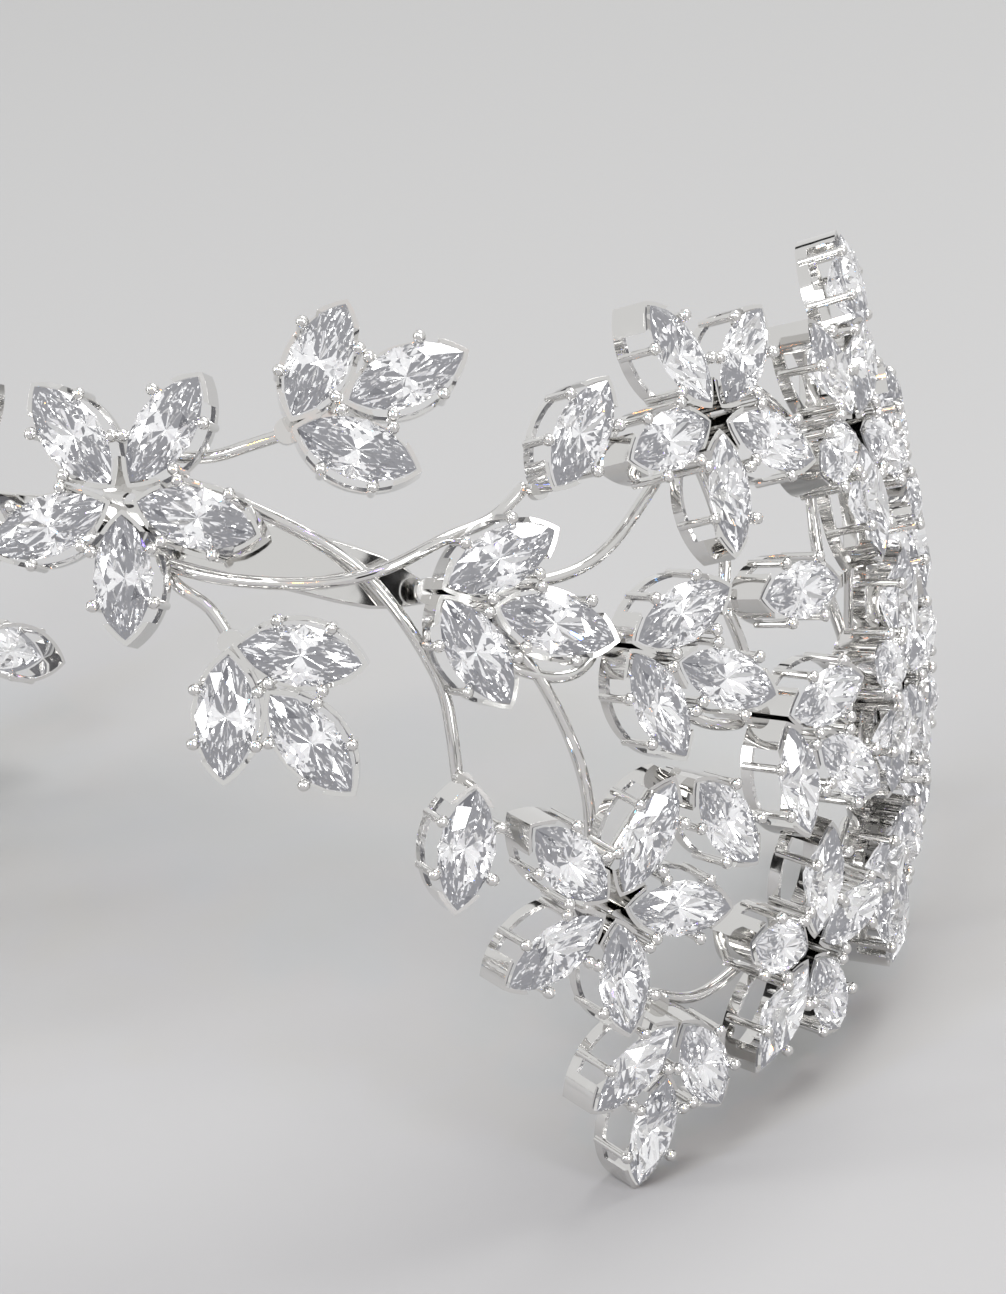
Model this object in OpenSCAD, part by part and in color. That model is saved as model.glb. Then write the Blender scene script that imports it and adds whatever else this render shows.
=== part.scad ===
// Bridal tiara: an open crown of bent wire that carries marquise stones in claw baskets.
// Each wing is laid out on a barrel-shaped crown line by azimuth (degrees from the front)
// and height (mm), and the left wing is the mirror image of the right one.

/* [Crown] */
// Radius of the wire line at the crown's widest height
crown_r = 60; // [54:1:75]
// Height of the widest line above the crown's own base
belly_z = 34; // [28:1:42]
// Radius of the crown's upright curve
belly_curve = 110; // [100:5:300]
// How far the crown leans back as it stands, degrees
rest_lean = 11.5; // [8:0.1:20]
// How far back the crown's own axis stands behind the part's origin
stand_back = 2.6; // [-20:0.01:20]
// Height of the crown's own base over the floor; below it when the crown leans back
stand_lift = -1.96; // [-20:0.01:20]

/* [Stones] */
// Length of a marquise stone
stone_l = 11; // [9:0.5:13.5]
// Width of a marquise stone
stone_w = 5.5; // [4.5:0.1:6.6]
// Height of the crown facets above the girdle
stone_crown = 1; // [0.6:0.1:1.4]
// Depth of the pavilion facets below the girdle
stone_depth = 2.6; // [1.8:0.1:2.9]
// Thickness of the girdle
stone_girdle = 0.3; // [0.2:0.05:0.5]

/* [Baskets] */
// Height of the girdle above the underside of the basket
basket_h = 4.4; // [3.9:0.1:6]
// Height of the lower rail
rail_h = 1.2; // [0.8:0.1:1.4]
// Thickness of the rail's wall
rail_t = 0.45; // [0.3:0.05:0.6]
// Clearance between a stone and its basket
stone_gap = 0.1; // [0.05:0.01:0.2]
// Radius of a claw
claw_r = 0.4; // [0.3:0.05:0.45]
// Radius of the bead at a claw's tip
bead_r = 0.55; // [0.45:0.05:0.6]
// Distance of the claws from the ends of the stone
claw_in = 3.1; // [2.9:0.1:3.6]
// Distance from a flower's centre to the inner ends of its stones
flower_eye = 1.6; // [1.4:0.1:2.4]
// Angle between the middle leaf of a spray and its side leaves
spray_fan = 42; // [40:1:50]
// Distance from a spray's foot to the inner end of its middle stone
spray_reach = 5.8; // [5.6:0.1:8]

/* [Wires] */
// Radius of the vine wires
wire_r = 0.7; // [0.5:0.05:0.9]
// Clearance between a wire and the basket soldered on it
solder_gap = 0.05; // [0.02:0.01:0.1]
// Width of the flat band
band_w = 5.6; // [4:0.1:7]
// Thickness of the flat band
band_t = 0.9; // [0.7:0.1:1.2]
// Distance of the flat band inside the wire line
band_in = 2.5; // [2.4:0.1:3.2]

/* [Pin loops] */
// Radius of the hole for a hair pin
loop_hole_r = 1.3; // [0.9:0.1:2]
// Wall around the hole
loop_wall = 0.8; // [0.6:0.1:1.2]
// Thickness of a loop
loop_t = 1.4; // [1:0.1:2]

/* [Hidden] */
sides = ["right", "left"];
flower_names = ["front", "upper", "lower", "crest", "side", "base", "rear_upper", "rear_lower"];
spray_names = ["front_upper", "front_lower", "fork", "inner", "centre", "foot", "side"];
group_names = ["bud_settings", "flower_stones", "spray_stones", "bud_stones", "upper_vine",
    "lower_vine", "stems", "lattice_wires"];

// Flowers of one wing: [azimuth, height, turn of the first petal]
flowers = [[11, 62, -13], [66.5, 66, -25], [52, 25, -8], [89.3, 62, 47], [94, 38.2, 18], [77, 16, 20],
    [109.5, 55, 47], [112, 31, 18]];
// Sprays of three: [azimuth of the foot, height of the foot, turn of the middle leaf]
sprays = [[25, 68, 22], [20, 50, -50], [37, 54, -18], [53.5, 48, -22], [70.5, 39, -33], [60, 13.2, -99],
    [94.6, 25, -79]];
// Single buds: [azimuth of the foot, height of the foot, turn]
buds = [[48, 62, 55], [39.5, 37, -100], [68.5, 50, 0], [60, 35, -50], [99.5, 69, 60], [123.4, 27, -18],
    [112.5, 19, -90]];

// Wires as [azimuth, height, offset out of the wire line]
upper_vine_path = [[15, 64, 0], [21, 62, 0], [29, 58, 0], [34, 53, 0], [38, 46, 0], [39, 41, 0],
    [39.5, 36, 0]];
lower_vine_path = [[13, 57, 0], [19, 55.5, 1], [27, 55, 1.8], [33, 56, 1.8], [39, 58.5, 1],
    [44, 60, 0], [48, 63, 0]];
stem_paths = [
    [[14, 66, 0], [18, 66, 0], [21.5, 67, 0], [25, 68, 0]],
    [[13, 58, -1.6], [15, 55, 0], [18, 53, 0], [20, 50, 0]],
    [[40, 55, 0], [47, 54, 0], [54, 55.5, 0], [60, 60, 0], [66, 65, 0]],
    [[41, 52, 0], [46, 47.5, 0], [50, 40, 0], [52, 33, 0], [52, 26, 0]]];
lattice_paths = [
    [[38, 53, 0], [45, 52.6, 0], [50, 51, 0], [53.1, 49, 0]],
    [[44, 47, 0], [48, 45.5, 0], [51, 45.6, 0], [53, 47.2, 0]],
    [[66.5, 66, 0], [69, 59, 0], [69.5, 54, 0], [68.6, 50.4, 0]],
    [[53.5, 48, 0], [59, 43, 0], [65, 39, 0], [71, 38, 0]],
    [[68.6, 49.6, 0], [71, 44, 0], [71, 38, 0]],
    [[52, 25, 0], [56, 30.5, 0], [59.8, 35, 0]],
    [[52, 25, 0], [55, 18.5, 0], [59.5, 14, 0]],
    [[59.5, 14, 0], [67, 12, 0], [77, 16, 0]],
    [[66.5, 66, 0], [77, 69, 0], [88, 62, 0]],
    [[71, 38, 0], [82, 34, 0], [94, 38, 0]],
    [[88, 62, 0], [86, 50, 0], [94, 38, 0]],
    [[77, 16, 0], [86, 15, 0], [94.6, 25, 0]],
    [[94, 38, 0], [96.5, 31, 0], [94.6, 25, 0]],
    [[88, 62, 0], [98, 61, 0], [109, 55, 0]],
    [[88.5, 62.6, 0], [94, 68, 0], [99.5, 69, 0]],
    [[94.6, 25, 0], [102, 22, 0], [112, 31, 0]],
    [[109, 55, 0], [106, 43, 0], [112, 31, 0]],
    [[112, 31, 0], [118, 27.6, 0], [123.4, 27, 0]],
    [[94.6, 25, 0], [103, 19.5, 0], [112.5, 19, 0]],
    [[112, 31, 0], [111, 25, 0], [112.5, 19, 0]],
    [[109, 55, 0], [118, 52, 0], [121.5, 42, 0], [123.4, 27, 0]]];
// The flat band: [azimuth, height, width as a share of band_w]
band_path = [[-41, 53, 0.3], [-38, 53.6, 0.3], [-33, 55, 0.9], [-22, 58, 1], [-10, 60, 0.8], [0, 60.5, 0.7],
    [10, 60, 0.8], [22, 58, 1], [33, 55, 0.9], [38, 53.6, 0.3], [41, 53, 0.3]];
// Pin loops on one side: [azimuth, height, offset out of the wire line]
loop_r = loop_hole_r + loop_wall;
loops = [[41 + (loop_r + solder_gap) / (line_r(53) - band_in) * 180 / PI, 53, -band_in],
    [121.5, 42, -wire_r - solder_gap - loop_r]];
coil_turns = 4;
coil_wire_r = 0.3;
wire_sides = 6;
span_steps = 3;
end_trim = 0.16;
outline_steps = 2;

silver = "gainsboro";
crystal = "aliceblue";

// --- The crown line ---

function line_r(z) = crown_r - belly_curve + sqrt(belly_curve * belly_curve - (z - belly_z) * (z - belly_z));
function line_lean(z) = asin((z - belly_z) / belly_curve);
function out_dir(a, z) = let (t = line_lean(z)) [sin(a) * cos(t), -cos(a) * cos(t), sin(t)];
function on_line(p) = [line_r(p[1]) * sin(p[0]), -line_r(p[1]) * cos(p[0]), p[1]] + out_dir(p[0], p[1]) * p[2];

// Sets its children on the crown line: X runs round the crown, Y up it and Z out of it.
module seat(a, z, turn, out) {
    rotate([0, 0, a])
        translate([0, -line_r(z), z])
            rotate([90 - line_lean(z), 0, 0])
                translate([0, 0, out])
                    rotate([0, 0, turn])
                        children();
}

// Stands the crown on the floor, leaning back on its lowest petals.
module stand(side) {
    translate([0, stand_back, stand_lift])
        rotate([-rest_lean, 0, 0])
            mirror([side == "left" ? 1 : 0, 0, 0])
                children();
}

// --- Wires ---

function spline(p, i, t) =
    let (a = p[max(i - 1, 0)], b = p[i], c = p[i + 1], d = p[min(i + 2, len(p) - 1)])
    0.5 * (2 * b + (c - a) * t + (2 * a - 5 * b + 4 * c - d) * t * t + (3 * b - a - 3 * c + d) * t * t * t);
function path_at(p, s) = let (i = max(0, min(floor(s), len(p) - 2))) spline(p, i, s - i);
function path_steps(p, trim) =
    let (n = (len(p) - 1) * span_steps, from = trim, to = len(p) - 1 - trim)
    [for (k = [0:n]) from + (to - from) * k / n];
function unit(v) = v / norm(v);
function ring(p, s, section) =
    let (
        q = path_at(p, s),
        here = on_line([q[0], q[1], q[2]]),
        ahead = path_at(p, s + 0.02),
        behind = path_at(p, s - 0.02),
        along = unit(on_line([ahead[0], ahead[1], ahead[2]]) - on_line([behind[0], behind[1], behind[2]])),
        across = unit(cross(out_dir(q[0], q[1]), along)),
        out = cross(along, across))
    [for (c = section) here + across * c[0] * (len(q) > 3 ? q[3] : 1) + out * c[1]];

// Sweeps a closed section along a path laid on the crown line.
module sweep(p, section, trim) {
    steps = path_steps(p, trim);
    n = len(section);
    rings = [for (s = steps) ring(p, s, section)];
    faces = concat(
        [[for (j = [0:n - 1]) j]],
        [for (k = [0:len(steps) - 2], j = [0:n - 1])
            [k * n + j, (k + 1) * n + j, (k + 1) * n + (j + 1) % n, k * n + (j + 1) % n]],
        [[for (j = [n - 1:-1:0]) (len(steps) - 1) * n + j]]);
    polyhedron([for (r = rings, q = r) q], faces);
}

module wire(p) {
    sweep(p, [for (j = [0:wire_sides - 1]) wire_r * [cos(j * 360 / wire_sides), sin(j * 360 / wire_sides)]],
        end_trim);
}

// --- Stones and baskets, each along +X from its inner end at the origin ---

function half_w(x, l, w) =
    let (r = (l * l + w * w) / (4 * w), d = x - l / 2) sqrt(r * r - d * d) - r + w / 2;

// Pointed oval from two arcs, grown by e all round
module oval(e) {
    l = stone_l + 2 * e;
    w = stone_w + 2 * e;
    r = (l * l + w * w) / (4 * w);
    translate([stone_l / 2, 0])
        intersection() {
            translate([0, r - w / 2])
                circle(r, $fn = 72);
            translate([0, w / 2 - r])
                circle(r, $fn = 72);
        }
}

module stone() {
    n = 2 * outline_steps;
    xs = [for (k = [0:n]) stone_l * (1 - cos(180 * k / n)) / 2];
    upper = [for (k = [0:n]) [xs[k], half_w(xs[k], stone_l, stone_w)]];
    edge = concat(upper, [for (k = [n - 1:-1:1]) [xs[k], -upper[k][1]]]);
    m = len(edge);
    centre = [stone_l / 2, 0];
    table = [for (q = edge) centre + (q - centre) * 0.6];
    points = concat(
        [[stone_l / 2, 0, -stone_depth]],
        [for (q = edge) [q[0], q[1], -stone_girdle]],
        [for (q = edge) [q[0], q[1], 0]],
        [for (q = table) [q[0], q[1], stone_crown]]);
    faces = concat(
        [for (j = [0:m - 1]) [0, 1 + (j + 1) % m, 1 + j]],
        [for (b = [1, 1 + m], j = [0:m - 1]) [b + j, b + (j + 1) % m, b + m + (j + 1) % m, b + m + j]],
        [[for (j = [0:m - 1]) 1 + 2 * m + j]]);
    translate([0, 0, basket_h])
        polyhedron(points, faces);
}

module basket() {
    wall_h = basket_h - 0.3;
    wall_reach = 1.5;
    linear_extrude(rail_h)
        basket_wall();
    linear_extrude(wall_h)
        intersection() {
            basket_wall();
            union() {
                translate([-2, -stone_w])
                    square([2 + wall_reach, 2 * stone_w]);
                translate([stone_l - wall_reach, -stone_w])
                    square([2 + wall_reach, 2 * stone_w]);
            }
        }
    for (x = [claw_in, stone_l - claw_in], s = [-1, 1])
        claw(x, s);
}

module basket_wall() {
    difference() {
        oval(stone_gap + rail_t);
        oval(stone_gap);
    }
}

module claw(x, s) {
    translate([x, s * (half_w(x, stone_l, stone_w) + stone_gap + claw_r), 0]) {
        translate([0, 0, rail_h / 4])
            cylinder(h = basket_h, r = claw_r, $fn = 16);
        translate([0, 0, basket_h + 0.35])
            sphere(bead_r, $fn = 16);
    }
}

// --- Clusters, each round its own centre or foot ---

module flower_places() {
    for (k = [0:4])
        rotate([0, 0, 72 * k])
            translate([flower_eye, 0, 0])
                children();
}

module spray_places() {
    for (k = [-1:1])
        rotate([0, 0, k * spray_fan])
            translate([k == 0 ? spray_reach : 0.9, 0, 0])
                children();
}

module flower_setting() {
    difference() {
        cylinder(h = rail_h * 0.8, r = flower_eye + 0.9, $fn = 48);
        translate([0, 0, -1])
            cylinder(h = rail_h + 2, r = flower_eye - 0.9, $fn = 48);
    }
    flower_places()
        basket();
}

module spray_setting() {
    cylinder(h = rail_h * 0.8, r = 1.2, $fn = 48);
    translate([0, -0.6, 0])
        cube([spray_reach + 0.2, 1.2, rail_h * 0.8]);
    spray_places()
        basket();
}

module bud_setting() {
    cylinder(h = rail_h * 0.8, r = 0.9, $fn = 48);
    basket();
}

module on_vine(c) {
    seat(c[0], c[1], c[2], wire_r + solder_gap)
        children();
}

// --- Nodes ---

module front_band() {
    w = band_w / 2;
    t = band_t / 2;
    section = [[w, 0], [w * 0.9, t], [-w * 0.9, t], [-w, 0], [-w * 0.9, -t], [w * 0.9, -t]];
    path = [for (p = band_path) [p[0], p[1], -band_in, p[2]]];
    color(silver)
        stand("right")
            sweep(path, section, 0);
}

// Fine wire wound round each end of the flat band
module binding_coils() {
    tang_r = 0.3 * band_w / 2;
    color(silver)
        for (s = sides, k = [0:coil_turns - 1])
            stand(s)
                seat(38.4 + k * 0.8, 53.5 - k * 0.12, 0, -band_in)
                    rotate([0, 90, 0])
                        rotate_extrude($fn = 24)
                            translate([tang_r + coil_wire_r + solder_gap, 0])
                                circle(coil_wire_r, $fn = 16);
}

// Rings that a hair pin passes through
module pin_loops() {
    color(silver)
        for (s = sides, p = loops)
            stand(s)
                seat(p[0], p[1], 0, p[2])
                    rotate([90, 0, 0])
                        pin_loop();
}

module pin_loop() {
    translate([0, 0, -loop_t / 2])
        difference() {
            cylinder(h = loop_t, r = loop_r, $fn = 48);
            translate([0, 0, -1])
                cylinder(h = loop_t + 2, r = loop_hole_r, $fn = 48);
        }
}

module flower_setting_node(side, k) {
    color(silver)
        stand(side)
            on_vine(flowers[k])
                flower_setting();
}

module spray_setting_node(side, k) {
    color(silver)
        stand(side)
            on_vine(sprays[k])
                spray_setting();
}

module bud_settings(side) {
    color(silver)
        stand(side)
            for (c = buds)
                on_vine(c)
                    bud_setting();
}

module flower_stones(side) {
    color(crystal)
        stand(side)
            for (c = flowers)
                on_vine(c)
                    flower_places()
                        stone();
}

module spray_stones(side) {
    color(crystal)
        stand(side)
            for (c = sprays)
                on_vine(c)
                    spray_places()
                        stone();
}

module bud_stones(side) {
    color(crystal)
        stand(side)
            for (c = buds)
                on_vine(c)
                    stone();
}

module wires(side, paths) {
    color(silver)
        stand(side)
            for (p = paths)
                wire(p);
}

front_band();
binding_coils();
pin_loops();
for (s = sides, k = [0:len(flowers) - 1])
    flower_setting_node(s, k);
for (s = sides, k = [0:len(sprays) - 1])
    spray_setting_node(s, k);
for (s = sides) {
    bud_settings(s);
    flower_stones(s);
    spray_stones(s);
    bud_stones(s);
    wires(s, [upper_vine_path]);
    wires(s, [lower_vine_path]);
    wires(s, stem_paths);
    wires(s, lattice_paths);
}
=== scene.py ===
import bmesh
import bpy
import math
from mathutils import Matrix, Vector


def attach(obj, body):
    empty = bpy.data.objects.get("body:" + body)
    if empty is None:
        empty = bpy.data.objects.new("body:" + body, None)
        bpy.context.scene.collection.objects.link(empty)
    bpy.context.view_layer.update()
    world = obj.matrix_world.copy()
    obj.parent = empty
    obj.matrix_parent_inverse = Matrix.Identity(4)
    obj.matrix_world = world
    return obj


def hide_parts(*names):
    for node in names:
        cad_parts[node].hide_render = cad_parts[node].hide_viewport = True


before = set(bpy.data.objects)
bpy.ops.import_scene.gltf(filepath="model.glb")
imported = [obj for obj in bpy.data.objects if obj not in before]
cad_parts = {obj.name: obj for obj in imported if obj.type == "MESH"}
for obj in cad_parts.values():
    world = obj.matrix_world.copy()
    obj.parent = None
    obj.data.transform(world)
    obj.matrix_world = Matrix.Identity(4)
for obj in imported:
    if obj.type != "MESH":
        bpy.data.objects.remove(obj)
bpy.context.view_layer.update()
mm = 0.001
print("frame loaded", len(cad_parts), "nodes")


# The camera is set up in the crown's own upright frame, then leaned back with the crown.
# Angles in degrees, sizes in mm, clip in metres
crown = {"lean": 11.5, "back": 2.6, "lift": -1.96}
shot = {"azimuth": 21.0, "elevation": 12.0, "distance": 500.0, "height": 37.0, "right": 23.03,
        "sensor": 24.0, "lens": 91.8, "clip": (0.01, 20)}


def leanBack():
    place = Matrix.Translation((0, crown["back"] * mm, crown["lift"] * mm))
    return place @ Matrix.Rotation(math.radians(-crown["lean"]), 4, "X")


def makeCamera():
    az, el = math.radians(shot["azimuth"]), math.radians(shot["elevation"])
    back = Vector((math.sin(az) * math.cos(el), -math.cos(az) * math.cos(el), math.sin(el)))
    right = Vector((math.cos(az), math.sin(az), 0))
    up = back.cross(right)
    target = Vector((0, 0, shot["height"])) + right * shot["right"]
    eye = (target + back * shot["distance"]) * mm
    turn = Matrix((right, up, back)).transposed().to_4x4()
    data = bpy.data.cameras.new("camera")
    data.sensor_fit = "VERTICAL"
    data.sensor_height = shot["sensor"]
    data.lens = shot["lens"]
    data.clip_start, data.clip_end = shot["clip"]
    data.dof.use_dof = False
    camera = bpy.data.objects.new("camera", data)
    camera.matrix_world = leanBack() @ Matrix.Translation(eye) @ turn
    bpy.context.scene.collection.objects.link(camera)
    bpy.context.scene.camera = camera


makeCamera()
print("camera ready")


def colour(hexCode):
    # sRGB hex to linear, with full alpha
    parts = [int(hexCode[i:i + 2], 16) / 255 for i in (1, 3, 5)]
    return tuple(p / 12.92 if p <= 0.04045 else ((p + 0.055) / 1.055) ** 2.4 for p in parts) + (1.0,)


def noiseScale(size):
    # Noise cells of this many mm, on Object coordinates in metres
    return 1 / (size * mm)


def addNode(material, kind, settings=None, links=None):
    node = material.node_tree.nodes.new(kind)
    for name, value in (settings or {}).items():
        if name in node.inputs:
            node.inputs[name].default_value = value
        else:
            setattr(node, name, value)
    for name, source in (links or {}).items():
        material.node_tree.links.new(source, node.inputs[name])
    return node


def newMaterial(name):
    material = bpy.data.materials.new(name)
    material.use_nodes = True
    material.node_tree.nodes.clear()
    return material


# In mm: rubbed patches and gentle waves, both drawn coarser than real so that they show
rhodium = {"tint": "#dbdad8", "wear": 1.4286, "bright": 0.04, "rubbed": 0.1, "ripple": 2.8571,
           "rippleDepth": 0.3, "rippleStrength": 0.12}


def rhodiumPlate():
    # Rhodium over polished brass: a hard, nearly neutral mirror, softened by hand polishing
    m = newMaterial("rhodiumPlate")
    place = addNode(m, "ShaderNodeTexCoord").outputs["Object"]
    wear = addNode(m, "ShaderNodeTexNoise", {"Scale": noiseScale(rhodium["wear"]), "Detail": 3.0},
                   {"Vector": place})
    dull = addNode(m, "ShaderNodeMapRange", {"From Min": 0.35, "From Max": 0.7,
                   "To Min": rhodium["bright"], "To Max": rhodium["rubbed"]}, {"Value": wear.outputs["Fac"]})
    ripple = addNode(m, "ShaderNodeTexNoise", {"Scale": noiseScale(rhodium["ripple"]), "Detail": 1.0},
                     {"Vector": place})
    bump = addNode(m, "ShaderNodeBump", {"Strength": rhodium["rippleStrength"],
                   "Distance": rhodium["rippleDepth"] * mm}, {"Height": ripple.outputs["Fac"]})
    metal = addNode(m, "ShaderNodeBsdfPrincipled", {"Base Color": colour(rhodium["tint"]), "Metallic": 1.0},
                    {"Roughness": dull.outputs["Result"], "Normal": bump.outputs["Normal"]})
    addNode(m, "ShaderNodeOutputMaterial", {}, {"Surface": metal.outputs["BSDF"]})
    return m


gem = {"tint": "#ffffff", "bend": 2.16, "glowTint": "#f4f5ff", "glow": 0.035}


def zirconia():
    # Cubic zirconia: clear and colourless, bends light strongly, so facets flash white and dark.
    # A trace of glow stands in for the many small lights of a bright room
    m = newMaterial("cubicZirconia")
    glass = addNode(m, "ShaderNodeBsdfPrincipled", {"Base Color": colour(gem["tint"]), "Roughness": 0.0,
                    "IOR": gem["bend"], "Transmission Weight": 1.0,
                    "Emission Color": colour(gem["glowTint"]), "Emission Strength": gem["glow"]})
    addNode(m, "ShaderNodeOutputMaterial", {}, {"Surface": glass.outputs["BSDF"]})
    return m


# In mm: the paper's tooth, drawn coarser than real so that it shows
seamless = {"tint": "#949493", "dull": 0.85, "grain": 1.1111, "grainDepth": 0.2, "grainStrength": 0.05}


def paperFloor():
    # Matt seamless paper: a neutral grey that the studio light lifts to pale
    m = newMaterial("seamlessPaper")
    place = addNode(m, "ShaderNodeTexCoord").outputs["Object"]
    grain = addNode(m, "ShaderNodeTexNoise", {"Scale": noiseScale(seamless["grain"]), "Detail": 2.0},
                    {"Vector": place})
    bump = addNode(m, "ShaderNodeBump", {"Strength": seamless["grainStrength"],
                   "Distance": seamless["grainDepth"] * mm}, {"Height": grain.outputs["Fac"]})
    paper = addNode(m, "ShaderNodeBsdfPrincipled", {"Base Color": colour(seamless["tint"]),
                    "Roughness": seamless["dull"]}, {"Normal": bump.outputs["Normal"]})
    addNode(m, "ShaderNodeOutputMaterial", {}, {"Surface": paper.outputs["BSDF"]})
    return m


silver, crystal, paper = rhodiumPlate(), zirconia(), paperFloor()
print("materials ready")


mergeGap = 0.002 * mm  # points of a CAD mesh closer than this are one


def toMesh(bm, name):
    mesh = bpy.data.meshes.new(name)
    bm.to_mesh(mesh)
    bm.free()
    return mesh


def addObject(name, mesh, material):
    piece = bpy.data.objects.new(name, mesh)
    mesh.materials.append(material)
    bpy.context.scene.collection.objects.link(piece)
    return piece


def addPiece(name, mesh, material, cadNodes=()):
    piece = addObject(name, mesh, material)
    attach(piece, "root")
    if cadNodes:
        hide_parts(*cadNodes)
    return piece


def islands(node):
    # The points of each separate solid in a CAD node, in the mesh's own order
    bm = bmesh.new()
    bm.from_mesh(node.data)
    bmesh.ops.remove_doubles(bm, verts=bm.verts, dist=mergeGap)
    bm.verts.ensure_lookup_table()
    found, seen = [], set()
    for start in bm.verts:
        if start.index in seen:
            continue
        seen.add(start.index)
        group, front = [], [start]
        while front:
            vert = front.pop()
            group.append(vert.co.copy())
            for link in vert.link_edges:
                other = link.other_vert(vert)
                if other.index not in seen:
                    seen.add(other.index)
                    front.append(other)
        found.append(group)
    bm.free()
    return found


# Every stone is one cut, set at each CAD stone's own place. Sizes in mm; table, star and low are
# shares of the outline, starHeight and lowDepth of crown and depth
stone = {"length": 11.0, "width": 5.5, "crown": 1.0, "depth": 2.6, "halfGirdle": 0.15, "table": 0.56,
         "star": 0.79, "starHeight": 0.62, "low": 0.36, "lowDepth": 0.74}


def outline(angle, share=1.0):
    # A point on the pointed oval, by its angle round the girdle
    length, width = stone["length"], stone["width"]
    r = (length * length + width * width) / (4 * width)
    x = length / 2 * math.cos(angle)
    y = math.sqrt(max(r * r - x * x, 0)) - r + width / 2
    return Vector((x * share, math.copysign(y, math.sin(angle)) * share, 0))


def cutStone():
    bm = bmesh.new()

    def ringOf(count, start, share, height):
        points = [outline((k + start) * math.tau / count, share) for k in range(count)]
        return [bm.verts.new((p.x, p.y, height)) for p in points]

    girdle = ringOf(16, 0, 1.0, 0)
    table = ringOf(8, 0, stone["table"], stone["crown"])
    star = ringOf(8, 0.5, stone["star"], stone["crown"] * stone["starHeight"])
    low = ringOf(8, 0.5, stone["low"], -stone["depth"] * stone["lowDepth"])
    culet = bm.verts.new((0, 0, -stone["depth"]))
    bm.faces.new(table)
    for k in range(8):
        n, near, between, after = (k + 1) % 8, girdle[2 * k], girdle[2 * k + 1], girdle[(2 * k + 2) % 16]
        bm.faces.new((table[k], star[k], table[n]))  # star facet
        bm.faces.new((table[n], star[k], after, star[n]))  # kite facet
        bm.faces.new((star[k], near, between))  # upper girdle pair
        bm.faces.new((star[k], between, after))
        bm.faces.new((low[k], between, near))  # lower girdle pair
        bm.faces.new((low[k], after, between))
        bm.faces.new((culet, low[n], after, low[k]))  # pavilion main
    bmesh.ops.recalc_face_normals(bm, faces=bm.faces)
    return toMesh(bm, "cutStone")


def axesOf(points):
    # The stone's own frame: tips along X, culet down, with the girdle's upper edge at Z 0
    tipReach, midReach = 0.45 * mm, 0.4 * mm

    def ends(flat):
        # Centres of the two groups of points that lie farthest apart
        pairs = ((p, q) for p in points for q in points)
        a, b = max(pairs, key=lambda pq: (flat(pq[0]) - flat(pq[1])).length)
        near = [[p for p in points if (flat(p) - flat(tip)).length < tipReach] for tip in (a, b)]
        return [sum(group, Vector()) / len(group) for group in near]

    def acrossOnly(p):
        q = p - middle
        return q - along * q.dot(along) if abs(q.dot(along)) < midReach else Vector()

    tips = ends(lambda p: p)
    along = (tips[1] - tips[0]).normalized()
    middle = (tips[0] + tips[1]) / 2
    flanks = ends(acrossOnly)
    side = flanks[1] - flanks[0]
    out = along.cross(side - along * side.dot(along)).normalized()
    if max(((p - middle).dot(out) for p in points), key=abs) > 0:
        out = -out
    turn = Matrix((along, out.cross(along), out)).transposed().to_4x4()
    return Matrix.Translation(middle + out * stone["halfGirdle"] * mm) @ turn


def setStones(name, nodeName, cut):
    bm = bmesh.new()
    places = [axesOf(points) @ Matrix.Scale(mm, 4) for points in islands(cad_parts[nodeName])]
    for place in places:
        before = len(bm.verts)
        bm.from_mesh(cut)
        bm.verts.ensure_lookup_table()
        bmesh.ops.transform(bm, matrix=place, verts=bm.verts[before:])
    addPiece(name, toMesh(bm, name), crystal, (nodeName,))
    print(name, len(places), "stones")
    return places


# A polished bead over each claw, just lapping the stone's edge. Sizes in mm
prong = {"inset": 3.1, "bead": 0.6, "over": 0.42, "lift": 0.28, "rings": 7, "segments": 10}


def prongTips(name, places):
    bm = bmesh.new()
    along = stone["length"] / 2 - prong["inset"]
    across = abs(outline(math.acos(along / (stone["length"] / 2))).y) + prong["over"]
    corners = [(x, y, prong["lift"]) for x in (-along, along) for y in (-across, across)]
    for place in places:
        for corner in corners:
            bmesh.ops.create_uvsphere(bm, u_segments=prong["segments"], v_segments=prong["rings"],
                                      radius=prong["bead"], matrix=place @ Matrix.Translation(corner))
    for face in bm.faces:
        face.smooth = True
    addPiece(name, toMesh(bm, name), silver)


cut = cutStone()
for wing in ("right", "left"):
    for group in ("flower", "spray", "bud"):
        places = setStones(wing + group.capitalize() + "Stones", wing + "_" + group + "_stones", cut)
        prongTips(wing + group.capitalize() + "ProngTips", places)


# Merged copies of the CAD's metal: wires are smoothed, the rest gets finely rounded edges.
# Angles in degrees, sizes in mm; wireFlat and wireShape, in radians, pair a wire's triangles again
metal = {"speck": 0.0005, "sharp": 32.0, "edge": 0.07, "edgeAngle": 50.0, "edgeSegments": 2,
         "wireFlat": 0.6, "wireShape": 0.9, "wireLevels": 2}


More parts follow.
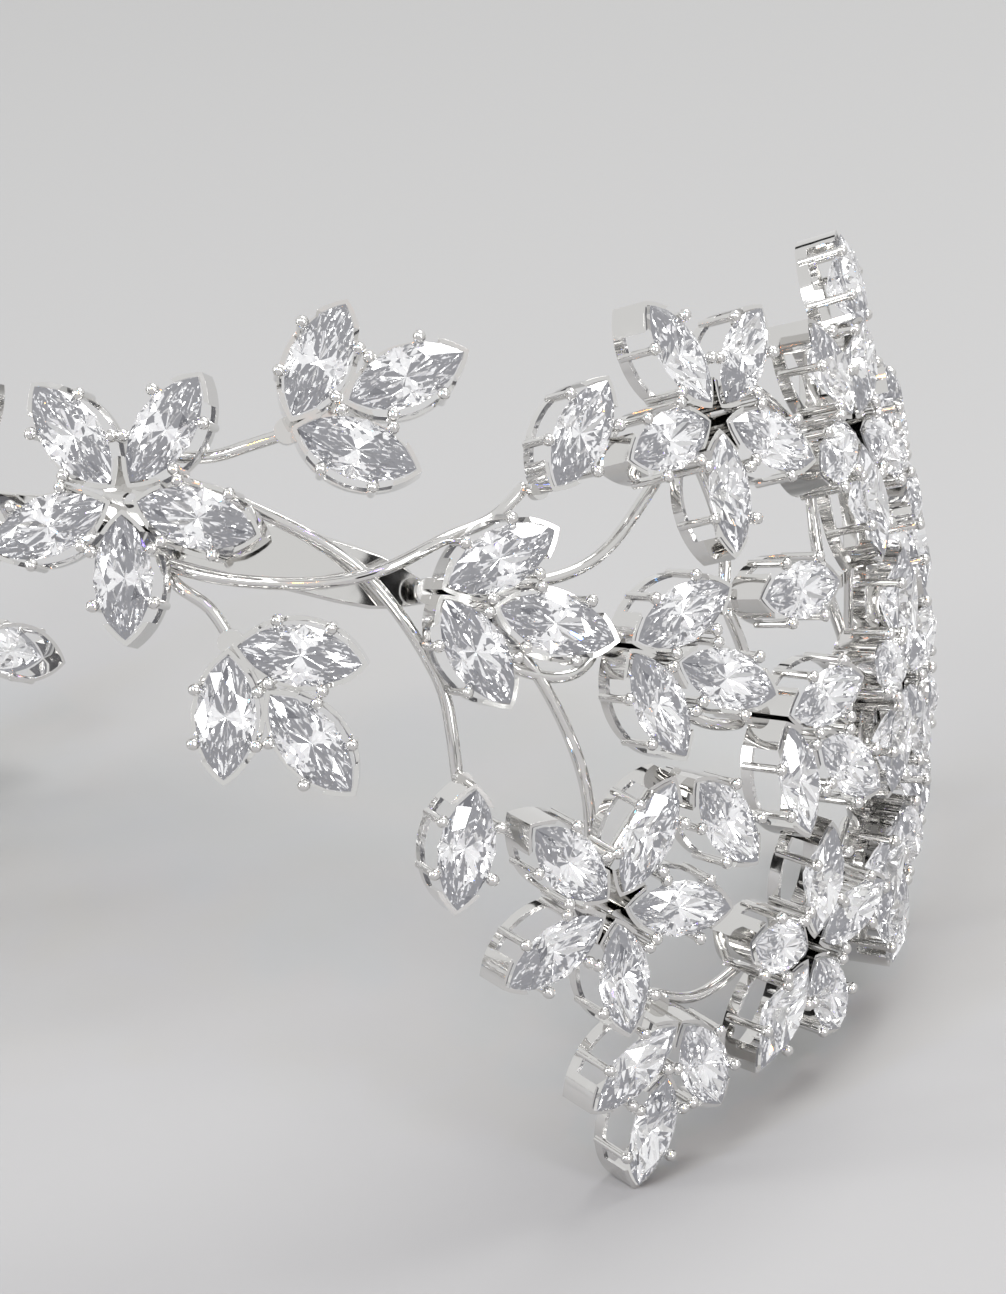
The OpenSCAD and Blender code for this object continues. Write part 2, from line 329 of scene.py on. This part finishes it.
def metalCopy(nodeName, isWire):
    bm = bmesh.new()
    bm.from_mesh(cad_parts[nodeName].data)
    bmesh.ops.remove_doubles(bm, verts=bm.verts, dist=mergeGap)
    bmesh.ops.dissolve_degenerate(bm, dist=metal["speck"] * mm, edges=bm.edges)
    if isWire:
        bmesh.ops.join_triangles(bm, faces=bm.faces, angle_face_threshold=metal["wireFlat"],
                                 angle_shape_threshold=metal["wireShape"])
    for face in bm.faces:
        face.smooth = True
    for edge in bm.edges:
        edge.smooth = isWire or edge.calc_face_angle(0) < math.radians(metal["sharp"])
    words = nodeName.split("_")
    name = words[0] + "".join(w.capitalize() for w in words[1:])
    piece = addPiece(name, toMesh(bm, name), silver, (nodeName,))
    if isWire:
        smooth = piece.modifiers.new("smooth", "SUBSURF")
        smooth.levels = smooth.render_levels = metal["wireLevels"]
    else:
        bevel = piece.modifiers.new("edges", "BEVEL")
        bevel.width, bevel.segments = metal["edge"] * mm, metal["edgeSegments"]
        bevel.limit_method, bevel.angle_limit = "ANGLE", math.radians(metal["edgeAngle"])


for nodeName in sorted(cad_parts):
    if not nodeName.endswith("_stones"):
        metalCopy(nodeName, any(word in nodeName for word in ("vine", "wires", "stems")))
print("metal ready")


# Floor, dark cards and soft lights, in metres and watts
studio = {"floor": 4.0, "world": 0.92, "worldTint": "#f6f6f6", "aim": (0, 0, 0.04), "glintSize": 0.035}
boxes = [
    {"name": "topSoftbox", "at": (0.25, 0.45, 0.95), "size": (0.7, 0.5), "power": 9.5},
    {"name": "cameraBox", "at": (-0.05, -0.8, 0.85), "size": (0.5, 0.3), "power": 6.5},
    {"name": "leftStrip", "at": (-0.8, -0.5, 0.35), "size": (0.16, 0.7), "power": 4.0},
    {"name": "rightStrip", "at": (0.8, -0.45, 0.4), "size": (0.16, 0.7), "power": 4.0}]
cards = [
    {"name": "leftCard", "at": (-0.42, -0.62, 0.2), "size": (0.12, 0.4)},
    {"name": "rightCard", "at": (0.66, -0.62, 0.22), "size": (0.14, 0.4)},
    {"name": "backCard", "at": (-0.5, 0.75, 0.5), "size": (0.3, 0.12)},
    {"name": "highCard", "at": (0.2, -0.45, 0.8), "size": (0.5, 0.08)}]
# Small coloured lamps: the flashes of colour that a strongly bending stone throws back
glints = [
    {"name": "amberGlint", "at": (0.3, -0.7, 0.65), "tint": "#ff9030", "power": 0.6},
    {"name": "blueGlint", "at": (-0.25, -0.75, 0.6), "tint": "#3a6cff", "power": 0.45},
    {"name": "violetGlint", "at": (0.6, -0.5, 0.75), "tint": "#8a5cff", "power": 0.3},
    {"name": "skyGlint", "at": (-0.1, -0.5, 0.95), "tint": "#58b0ff", "power": 0.35}]


def aimed(at):
    # Placed there and facing the crown
    towards = Vector(at) - Vector(studio["aim"])
    return Matrix.Translation(at) @ towards.to_track_quat("Z", "Y").to_matrix().to_4x4()


def flatSheet(name, size, place, material):
    bm = bmesh.new()
    bmesh.ops.create_grid(bm, x_segments=1, y_segments=1, size=0.5)
    bmesh.ops.scale(bm, vec=(size[0], size[1], 1), verts=bm.verts)
    bmesh.ops.transform(bm, matrix=place, verts=bm.verts)
    addObject(name, toMesh(bm, name), material)


def blackFelt():
    # Black felt flags: they give the polished metal its dark reflections
    m = newMaterial("blackFelt")
    felt = addNode(m, "ShaderNodeBsdfPrincipled", {"Base Color": colour("#080808"), "Roughness": 1.0})
    addNode(m, "ShaderNodeOutputMaterial", {}, {"Surface": felt.outputs["BSDF"]})
    return m


def addLamp(lamp):
    light = bpy.data.lights.new(lamp["name"], "AREA")
    light.shape = "RECTANGLE"
    light.size, light.size_y = lamp.get("size", (studio["glintSize"], studio["glintSize"]))
    light.energy = lamp["power"]
    light.color = colour(lamp.get("tint", "#ffffff"))[:3]
    holder = bpy.data.objects.new(lamp["name"], light)
    holder.matrix_world = aimed(lamp["at"])
    bpy.context.scene.collection.objects.link(holder)


flatSheet("floor", (studio["floor"], studio["floor"]), Matrix(), paper)
felt = blackFelt()
for card in cards:
    flatSheet(card["name"], card["size"], aimed(card["at"]), felt)
for lamp in boxes + glints:
    addLamp(lamp)
world = bpy.data.worlds.new("studio")
world.use_nodes = True
sky = world.node_tree.nodes["Background"].inputs
sky["Color"].default_value = colour(studio["worldTint"])
sky["Strength"].default_value = studio["world"]
bpy.context.scene.world = world
bpy.context.scene.view_settings.view_transform = "Standard"
print("studio ready")
